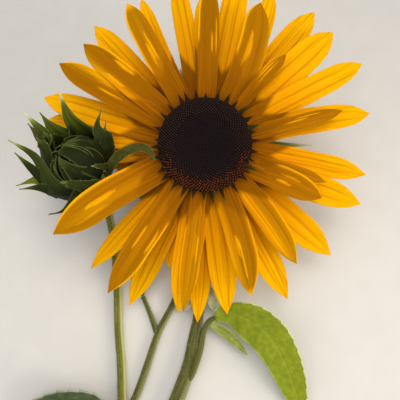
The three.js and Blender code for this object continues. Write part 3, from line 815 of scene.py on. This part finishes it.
# Bud
# The unopened head at the left: a flattened egg wrapped in thick green bracts that overlap like the
# scales of an artichoke. Two rows of eight close over its middle, the outer one a little off it, and
# three broad ones lie over them.
bud_wide, bud_below, bud_above = 24.5, 19, 16.5
bud_middle = np.array((-97.6, -13.6, 6))
bud_axis = unit(np.array((-0.64, 0.42, 0.64)))
bud_one = unit(np.array((0.42, 0.64, 0)))
bud_two = np.cross(bud_axis, bud_one)
bud_frame = (bud_middle, bud_one, bud_two, bud_axis)


def bud_skin(sweep, lift):
    """Radius and height on the bud at sweep degrees from its neck (0) to its opening (180)."""
    tall = np.where(sweep < 90, bud_below, bud_above)
    across, rise = np.sin(np.radians(sweep)), -np.cos(np.radians(sweep))
    length = np.hypot(across / bud_wide, rise / tall)
    return across * (bud_wide + lift / bud_wide / length), rise * (tall + lift / tall / length)


def on_bud(angle, radius, height):
    """Places round the bud's axis."""
    flat = (radius * np.cos(angle))[..., None] * bud_one + (radius * np.sin(angle))[..., None] * bud_two
    return bud_middle + flat + height[..., None] * bud_axis


def bud_core(sweep, lift):
    """Radius and height on the bud's core, which keeps clear of the open bracts."""
    radius, height = bud_skin(sweep, lift)
    slim = 1 - 0.2 * np.clip((sweep - 35) / 55, 0, 1)
    return radius * slim, height * slim


def closed_bract(angle, width, foot, stop, lift, stand_off, seed):
    """One bract that lies on the core from foot to stop degrees of sweep, with a ridge along its
    middle and a long point. Its tip stands stand_off mm off the bracts under it."""
    turn = math.radians(angle)
    bend, ripple = draw.normal(0, 0.12), draw.uniform(0, 6)

    def place(t, x):
        swell = 0.7 + 0.3 * np.sin(np.minimum(2.6 * t, 1) * np.pi / 2)
        taper = np.minimum((1 - t) / 0.7, 1)
        half = np.maximum(width / 2 * swell * (0.7 * taper ** 0.8 + 0.3 * taper ** 3), 0.2)
        keel = 0.6 * np.exp(-(x / 0.2) ** 2) * np.sin(np.pi * np.clip(t, 0, 1)) ** 0.5
        waves = 0.4 * x * np.sin(7 * t + ripple)
        curl = lift + keel + waves + 0.9 * x ** 2 * np.minimum(2 * t, 1)
        curl = curl + stand_off * np.maximum(t - 0.4, 0) ** 1.6 / 0.44
        radius, height = bud_core(foot + (stop - foot) * t, curl)
        around = turn - x * half / np.maximum(np.abs(radius), 5) * np.sign(radius + 1e-9) + bend * t ** 2
        return on_bud(around, radius, height)

    return blade(40, 14, place, 0.8, seed)


draw = np.random.default_rng(67)
# The core under the bracts is painted near black, as the shade in the gaps between them.
bud_shell = turned([bud_core(sweep, -0.3) for sweep in np.linspace(0, 180, 40)], 72, bud_frame)
bud_shade_tissue = bract_tissue("bud_core_shade", "#11160a", "#181e0c", "#141a0b", "#1e2511", "#181e0c")
bud_body = piece("bud_core_shade", [bud_shell], bud_shade_tissue)
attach(bud_body, "root")
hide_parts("bud_body")
# Of each row: how many, the angle of the first, their width, the sweep of foot and tip, lift and how
# far the tips stand off. Each broad one has the same without the count.
bud_rows = ((8, 14, 18, 56, 168, 0.2, 1.5), (8, 36, 17, 48, 152, 0.8, 3))
closed_parts = []
for count, first, width, foot, stop, lift, stand_off in bud_rows:
    for k in range(count):
        jitter = draw.normal(0, (4, 1, 5, 0.5))
        closed_parts.append(closed_bract(
            first + k * 360 / count + jitter[0], width + jitter[1], foot, stop + jitter[2], lift,
            stand_off + jitter[3], len(closed_parts),
        ))
# The three broad ones towards the camera, whose points cross the opening.
broad_rows = ((290, 22, 44, 201, 1.7, 3), (257, 22, 42, 158, 1.5, 3), (322, 19, 44, 162, 1.5, 3.5))
for k, row in enumerate(broad_rows):
    closed_parts.append(closed_bract(*row, seed=30 + k))
# The lower part of each closed bract is painted near black, as the shade under the bracts over it.
bud_closed = bract_tissue("bud_bract_closed", "#080b07", "#242c0e", "#525e28", "#303812", "#5f6b30", 0.72)
bud_wrap = piece("bud_bracts_closed", closed_parts, bud_closed)
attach(bud_wrap, "root")
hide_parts("bud_closed_bracts")

# Open bracts of the bud
# Broad bracts that hug the bud to its widest and then stand up round its core like a crown, each
# drawn out to a long thin pale point, with white hairs along the edges. A few low ones stay short.
bud_foot = bud_middle - 12 * bud_axis


def open_bract(row, seed):
    """One bract: degrees round the bud at its foot, the sweep at which it leaves the bud, its greatest
    width, how far its face turns up (0 to 1), how much light is painted falling through it, how pale
    its point is, and the angle, radius and height of the middle of its free part and of its tip."""
    angle, leave, width, turned_up, painted_lit, pale, *free = row
    hugged = ((28, 1.8), (leave * 0.66, 2.4), (leave, 3.2))
    hug = [(angle, *bud_skin(sweep, lift)) for sweep, lift in hugged]
    rows = np.array([*hug, *free], float)
    line = on_bud(np.radians(rows[:, 0]), rows[:, 1], rows[:, 2])

    def place(t, x):
        spine, way = on_line(line, t[:, 0])
        out = unit(spine - bud_foot) * (1 - turned_up) + np.array((0, 0, 1.0)) * turned_up
        out = unit(out - way * (out * way).sum(1, keepdims=True))
        side = np.cross(out, way)
        swell = 0.6 + 0.4 * np.sin(np.minimum(t / 0.45, 1) * np.pi / 2)
        taper = np.maximum(1 - np.maximum(t - 0.52, 0) / 0.48, 0)
        half = np.maximum(width / 2 * swell * (0.4 * taper + 0.6 * taper ** 2), 0.24)
        off = 0.5 * np.exp(-(x / 0.2) ** 2) - (x * half) ** 2 / 60 + 0.4 * x * np.sin(9 * t + seed)
        return spine[:, None] + side[:, None] * (x * half)[..., None] + out[:, None] * off[..., None]

    def light(t, x):
        through = 0.5 * painted_lit * np.clip((t - 0.4) / 0.3, 0, 1) * (0.75 + 0.25 * np.cos(8 * x + seed))
        return np.maximum(through, pale * np.clip((t - 0.84) / 0.1, 0, 1))

    return blade(48, 12, place, 0.7, seed, light)


open_rows = [
    (38, 92, 25, 0, 0.5, 1, (30, 30, 18), (18, 40, 36)),
    (52, 88, 14, 0, 0, 0, (42, 28, 10), (30, 36, 21)),
    (74, 92, 27, 0.2, 0.35, 0, (66, 27, 20), (57, 30, 34)),
    (104, 100, 29, 0.6, 0.25, 1, (78, 20, 24.5), (71, 32, 43.5)),
    (116, 92, 28, 0.5, 0.2, 0, (92, 22, 23.5), (82, 31, 35)),
    (190, 102, 23, 0.4, 0.2, 0.7, (134, 19, 24), (124, 22, 44)),
    (168, 92, 22, 0.5, 0, 0.2, (146, 27, 20), (128, 31, 33.5)),
    (150, 84, 20, 0.5, 0.9, 0.5, (151, 32, 11), (152, 46, 20)),
    (184, 84, 17, 0.4, 0, 0.1, (176, 30, 10.5), (160, 43, 19)),
    (222, 60, 15, 0.2, 0.1, 0, (199, 36, -9), (188, 44, -2)),
    (356, 72, 15, 0.7, 0.1, 0.2, (4, 31, 0), (4, 45, 5)),
    (340, 60, 14, 0.4, 0, 0.3, (358, 27.5, -8), (1, 39, -2)),
    (296, 52, 6, 0, 0.1, 0.6, (286, 27, -4), (281, 29, 1)),
    (250, 62, 15, 0, 0.06, 0.4, (241, 27, 4), (232, 25.5, 10)),
    (92, 98, 28, 0.5, 0.15, 0, (78, 16, 21), (70, 17, 27)),
    (134, 100, 32, 0.6, 0.15, 0, (104, 16, 21.5), (92, 18, 28.5)),
]
open_parts = [open_bract(row, k) for k, row in enumerate(open_rows)]
# Their feet, under the crown, are painted near black as shade, and the light share paints them paler where
# light would fall through.
bud_open = bract_tissue("bud_bract_open", "#0e130a", "#252f0e", "#5d6730", "#36421a", "#4a5a22", 0.8)
bud_crown = piece("bud_bracts_open", open_parts, bud_open)
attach(bud_crown, "root")
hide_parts("bud_open_bracts")
bud_hair = piece(
    "bud_hairs",
    [h for one in open_parts for h in edge_hair(draw, one, 1, 1.8, 0.08, 0.5)]
    + [h for one in closed_parts for h in edge_hair(draw, one, 0.4, 1.1, 0.08, 0.5)],
    hair,
)
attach(bud_hair, "root")

# Large leaf
# The leaf under the head at the right, thin, rough and almost flat, with a midrib and side veins. Its
# right edge is toothed most and carries a pale rim that is a painted highlight, fainter on the left
# edge, and its stalk leaves the main stem.


def eased(values, t):
    """Values at even steps, drawn as a smooth line."""
    flat = np.zeros((len(values), 3))
    flat[:, 0], flat[:, 1] = values, np.arange(len(values)) * 10
    return on_line(flat, t.ravel())[0][:, 0].reshape(t.shape)


def leaf(line, half, fold, along, across, seed, wave, veins, teeth=(0, 0), tooth_count=20):
    """A leaf along a line from its foot to its tip: half widths at even steps, fold up along the
    midrib, height of its teeth at either edge and their number, height of its waves, and the space
    between side veins."""
    path = np.array([point[:3] for point in line], float)

    def place(t, x):
        middle, way = on_line(path, t[:, 0])
        up = unit(np.array((0, 0, 1.0)) - way * way[:, 2:])
        side = np.cross(up, way)
        run = run_along(middle)[:, None]
        saw = (t * tooth_count) % 1
        high = np.where(x < 0, *teeth)
        tooth = high * (saw ** 1.5 - 0.4) * np.minimum(1, 6 * t) * np.minimum(1, 8 * (1 - t))
        w = np.maximum(np.maximum(eased(half, t), 0.3) + tooth * np.abs(x) ** 8, 0.25)
        vein = np.abs(((run - np.abs(x) * w * 0.8) / veins) % 1 - 0.5) * 2
        pucker = 0.18 * (vein ** 0.5 - 1) * np.minimum(1, 3 * np.abs(x)) * (1 - np.abs(x) ** 4)
        rib = -0.35 * np.exp(-(x * w / 1.2) ** 2)
        waves = wave * np.abs(x) ** 2 * np.sin(run * 0.28 + seed + x) * np.minimum(1, 5 * (1 - t))
        lift = fold * np.abs(x) * w + pucker + rib + waves
        return middle[:, None] + side[:, None] * (x * w)[..., None] + up[:, None] * lift[..., None]

    return blade(along, across, place, 0.7, seed)


def leaf_tissue(name, dark, middle, light, vein, gap, rim_colour=None, left=0.85):
    """Leaf blade: rough, matt green skin with paler veins and a rim of the same or its own colour,
    which may be fainter on the left. A rim that is stronger on one side is a painted highlight."""
    made = blank(name)
    skin = add(made, "Attribute", attribute_name="skin").outputs["Vector"]
    share = add(made, "Attribute", attribute_name="share").outputs["Vector"]
    places = add(made, "SeparateXYZ", {0: skin}).outputs
    spots = add(made, "SeparateXYZ", {0: share}).outputs
    # Mottling is about 4 mm wide and the rough grain 0.6 mm.
    mottle = add(made, "TexNoise", {"Vector": skin, "Scale": 0.22, "Detail": 4.0, "Roughness": 0.6})
    grain = add(made, "TexVoronoi", {"Vector": skin, "Scale": 1.4})
    tone = add(made, "ValToRGB", {0: mottle}, [(0.32, dark), (0.5, middle), (0.68, light)])
    wide = add(made, "Math", {0: places[0]}, operation="ABSOLUTE")
    slant = add(made, "Math", {0: wide, 1: -0.8, 2: places[1]}, operation="MULTIPLY_ADD")
    turn = add(made, "Math", {0: slant, 1: 1 / gap}, operation="MULTIPLY")
    step = add(made, "Math", {0: turn}, operation="FRACT")
    off = add(made, "Math", {0: step, 1: 0.5}, operation="SUBTRACT")
    near = add(made, "Math", {0: off}, operation="ABSOLUTE")
    side_vein = add(made, "MapRange", {"Value": near, "From Max": 0.08, "To Min": 0.2, "To Max": 0.0})
    midrib = {"Value": wide, "From Min": 0.2, "From Max": 0.8, "To Min": 0.35, "To Max": 0.0}
    midrib = add(made, "MapRange", midrib)
    both = add(made, "Math", {0: side_vein, 1: midrib}, operation="MAXIMUM")
    rims = [
        add(made, "MapRange", {
            "Value": spots[1], "From Min": 0.91 * way, "From Max": 0.95 * way, "To Max": strength,
        }) for way, strength in ((1, 0.85), (-1, left))
    ]
    rim_line = add(made, "Math", {0: rims[0], 1: rims[1]}, operation="MAXIMUM")
    mixed = add(made, "Mix", {0: both, 6: tone, 7: linear(vein)}, data_type="RGBA").outputs[2]
    rim_tone = linear(rim_colour or vein)
    mixed = add(made, "Mix", {0: rim_line, 6: mixed, 7: rim_tone}, data_type="RGBA").outputs[2]
    high = add(made, "Math", {0: both, 1: grain}, operation="ADD")
    bump = add(made, "Bump", {"Height": high, "Strength": 0.5, "Distance": 0.0004})
    look = {"Base Color": mixed, "Normal": bump, "Roughness": 0.65, "Specular IOR Level": 0.12}
    add(made, "OutputMaterial", {"Surface": add(made, "BsdfPrincipled", look)})
    return made


def resting(x, y):
    """The point just over the floor where a leaf's tip rests."""
    return lying(x, y, 0.55)


right_blade = leaf(
    [(8, -136, -14.5), (19, -133, -13), (35, -137.5, -7), (49, -147.5, -2), (59, -163, 0), (66.5, -181, 0),
     (72, -199, -1), resting(74, -219)],
    [4, 9, 14.5, 15.5, 14, 11.5, 7, 0.5], 0.07, 200, 36, seed=1, wave=0.7, veins=9.0, teeth=(0.4, 1.6),
    tooth_count=19,
)
right_stalk = tube([
    (-15, -186, -7, 2.8), (-10.5, -179, -5.5, 2.8), (-7, -171, -6.5, 2.7), (-3.4, -161, -12, 2.6),
    (-0.6, -148, -16, 2.5), (4, -140, -16.5, 2.3), (10, -136.3, -15.4, 1.5),
], 90, 20, ribs=5)
right_stalk["material"][:] = 1
# Its whitish rim is a painted highlight, strongest on the right edge.
leaf_bright = leaf_tissue("leaf_bright", "#76861f", "#82921f", "#909f27", "#a0ab45", 9.0, "#d9deb8", 0.3)
right_leaf = piece("right_leaf_blade", [right_blade, right_stalk], leaf_bright, stem_green)
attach(right_leaf, "root")
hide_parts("right_leaf")

# Small leaves at the crown of the stem
# Young leaves on the main stem under the lowest rays, narrow, soft and downy, and paler than the
# large one. The whitish green of the two at the crown is partly their down and partly painted light
# that falls through it.
small = leaf(
    [(3.6, -141, -17.2), (11, -145.5, -15), (19, -150, -12), (26.5, -157, -10), (33.5, -165, -10)],
    [1.8, 3.7, 4.1, 2.9, 0.5], 0.3, 70, 16, seed=2, wave=0.2, veins=4.0,
)
leaf_soft = leaf_tissue("leaf_soft", "#7c8a35", "#8f9c45", "#a5ae60", "#b8c080", 4.0)
small_leaf = piece("small_leaf_blade", [small], leaf_soft)
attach(small_leaf, "root")
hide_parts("small_leaf")
# Partly painted light: the whitish green stands for the sun falling through the down.
leaf_downy = leaf_tissue("leaf_downy", "#a9b388", "#bfc7a2", "#d6dbc0", "#e2e6d2", 4.0)
for name, fold, seed, line in (
    ("crown_leaf_right", 0.5, 3, [(0.1, -112, -30.3), (4.5, -119, -24), (9, -127, -20),
    (12, -136, -20)]),
    ("crown_leaf_left", 0.4, 4, [(-6.2, -118, -28.6), (-11, -123, -24), (-17, -128, -22),
    (-24, -134, -24)]),
):
    made = leaf(line, [1.2, 4, 5, 0.5], fold, 60, 16, seed, wave=0.4, veins=4.0)
    made = piece(name + "_blade", [made], leaf_downy)
    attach(made, "root")
    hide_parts(name)

# Broad leaf at the lower left
# A full-grown leaf on the bud's stem, grey-green and dull, with toothed edges. It spreads out almost
# flat and rests its tip on the floor.
low_left = leaf(
    [(-65.8, -212, 3.8), (-75, -207, 8), (-92, -201, 11), (-112, -201, 10), (-134, -207, 4),
     resting(-155, -216)],
    [2, 12, 18, 16, 9, 0.5], 0.15, 180, 36, seed=5, wave=0.9, veins=10.0, teeth=(1.3, 1.3), tooth_count=14,
)
leaf_grey = leaf_tissue("leaf_grey_green", "#3d4a34", "#4a593e", "#5a6a4a", "#75835f", 10.0, "#a3ad95")
low_left = piece("low_left_leaf_blade", [low_left], leaf_grey)
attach(low_left, "root")
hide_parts("low_left_leaf")

# Leaves behind the head
# Two full-grown leaves on the main stem behind the head, which bend down to the floor at both sides
# and keep the head level.
leaf_green = leaf_tissue("leaf_green", "#55661f", "#66782b", "#7b8b3c", "#9aa868", 9.0)
for name, half, seed, line in (
    (
        "back_left_leaf", [2, 10, 17, 13, 0.5], 6,
        [(-5.5, -66, -50), (-20, -52, -47), (-42, -32, -50), (-66, -12, -62), resting(-92, 12)],
    ),
    (
        "back_right_leaf", [2, 10, 16, 12, 0.5], 7,
        [(5, -76, -47), (20, -62, -44), (44, -44, -46), (68, -28, -58), resting(92, -12)],
    ),
):
    made = leaf(line, half, 0.1, 180, 34, seed, wave=0.8, veins=9.0, teeth=(1.3, 1.3), tooth_count=16)
    made = piece(name + "_blade", [made], leaf_green)
    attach(made, "root")
    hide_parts(name)

# Leaves of the side stem
# Two half-grown leaves in the shade under the rays, one at the tip of the side stem and one at the tip
# of its twig. Both are toothed a little and folded up along the midrib.
for name, seed, line in (
    ("side_leaf_one", 8, [(-16.8, -105.5, -39), (-14, -95, -37), (-18, -80, -36), (-24, -66, -40)]),
    ("side_leaf_two", 9, [(-52.3, -123.4, -32.8), (-55, -112, -33), (-56, -98, -35), (-54, -84, -39)]),
):
    made = leaf(line, [1.2, 6, 7, 0.5], 0.3, 70, 20, seed, 0.4, 6.0, teeth=(0.6, 0.6), tooth_count=8)
    made = piece(name + "_blade", [made], leaf_green)
    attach(made, "root")
    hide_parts(name)

# Curled leaf
# The narrow leaf at the neck of the bud that curls over the rays to the edge of the disc, dark
# olive, folded up into a trough.
curled = leaf(
    [(-76.4, -29, -12), (-75, -23.5, -3), (-70.5, -16, 6), (-63.5, -9.5, 11), (-55, -5.2, 14),
     (-46.5, -3.8, 15), (-40.5, -7, 14.2), (-37, -13.5, 12.6)],
    [1.4, 2.6, 3.4, 3.7, 3.5, 3.1, 2.2, 0.4], 0.5, 100, 18, seed=10, wave=0.15, veins=5.0,
)
leaf_olive = leaf_tissue("leaf_olive", "#3d3d14", "#4c491a", "#4e5624", "#5f6b35", 5.0)
curled = piece("curled_leaf_blade", [curled], leaf_olive)
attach(curled, "root")
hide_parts("curled_leaf")

# Setting
# A plain pale floor, soft studio light from above and from the lower right, and a camera in the place
# of the photo's, which looks down on the head by 70 degrees.


def paper():
    """Matt white paper: the plain floor."""
    made = blank("floor_paper")
    spot = add(made, "TexCoord").outputs["Object"]
    # Its fibres are too fine to show, so a soft mottling 25 mm wide stands for them.
    fibre = add(made, "TexNoise", {"Vector": spot, "Scale": 40.0, "Detail": 3.0})
    tone = add(made, "ValToRGB", {0: fibre}, [(0.3, "#dbdcdd"), (0.7, "#dfe0e1")])
    look = {"Base Color": tone, "Roughness": 0.9}
    add(made, "OutputMaterial", {"Surface": add(made, "BsdfPrincipled", look)})
    return made


mesh = bpy.data.meshes.new("floor")
mesh.from_pydata([(-4, -4, 0), (4, -4, 0), (4, 4, 0), (-4, 4, 0)], [], [(0, 1, 2, 3)])
mesh.materials.append(paper())
floor = bpy.data.objects.new("floor", mesh)
bpy.context.scene.collection.objects.link(floor)

world = bpy.data.worlds.new("studio")
bpy.context.scene.world = world
world.use_nodes = True
world.node_tree.nodes["Background"].inputs[0].default_value = linear("#e8e7e4")
world.node_tree.nodes["Background"].inputs[1].default_value = 0.48


def softbox(name, place, aim, size, power, colour, beam=180):
    """A square soft light at a place, turned to the point it is aimed at, with a beam so many degrees
    wide."""
    lamp = bpy.data.lights.new(name, "AREA")
    lamp.size, lamp.energy, lamp.color, lamp.spread = size, power, linear(colour)[:3], math.radians(beam)
    made = bpy.data.objects.new(name, lamp)
    made.location = place
    made.rotation_euler = (Vector(aim) - Vector(place)).to_track_quat("-Z", "Y").to_euler()
    bpy.context.scene.collection.objects.link(made)


softbox("key", (0.12, 0.12, 1.0), (-0.02, 0, 0.05), 0.6, 4.2, "#fff4e4")
softbox("fill", (-0.55, -0.3, 0.85), (0, 0, 0.05), 0.9, 2.8, "#fdf8ee")
softbox("low_right", (0.72, -0.32, 0.42), (0, -0.08, 0.02), 0.4, 1.05, "#fff0d8", 90)

photo_field = math.radians(50)
eye = np.array((-3.85, -42.35, 330)) @ lean.T + head_place
lens = bpy.data.cameras.new("camera")
lens.sensor_width = 36
lens.lens = lens.sensor_width / 2 / math.tan(photo_field / 2)
lens.clip_start = 0.01
camera = bpy.data.objects.new("camera", lens)
camera.location = eye / 1000
camera.rotation_euler = (lean_back, 0, 0)
bpy.context.scene.collection.objects.link(camera)
bpy.context.scene.camera = camera
bpy.context.scene.view_settings.view_transform = "Standard"
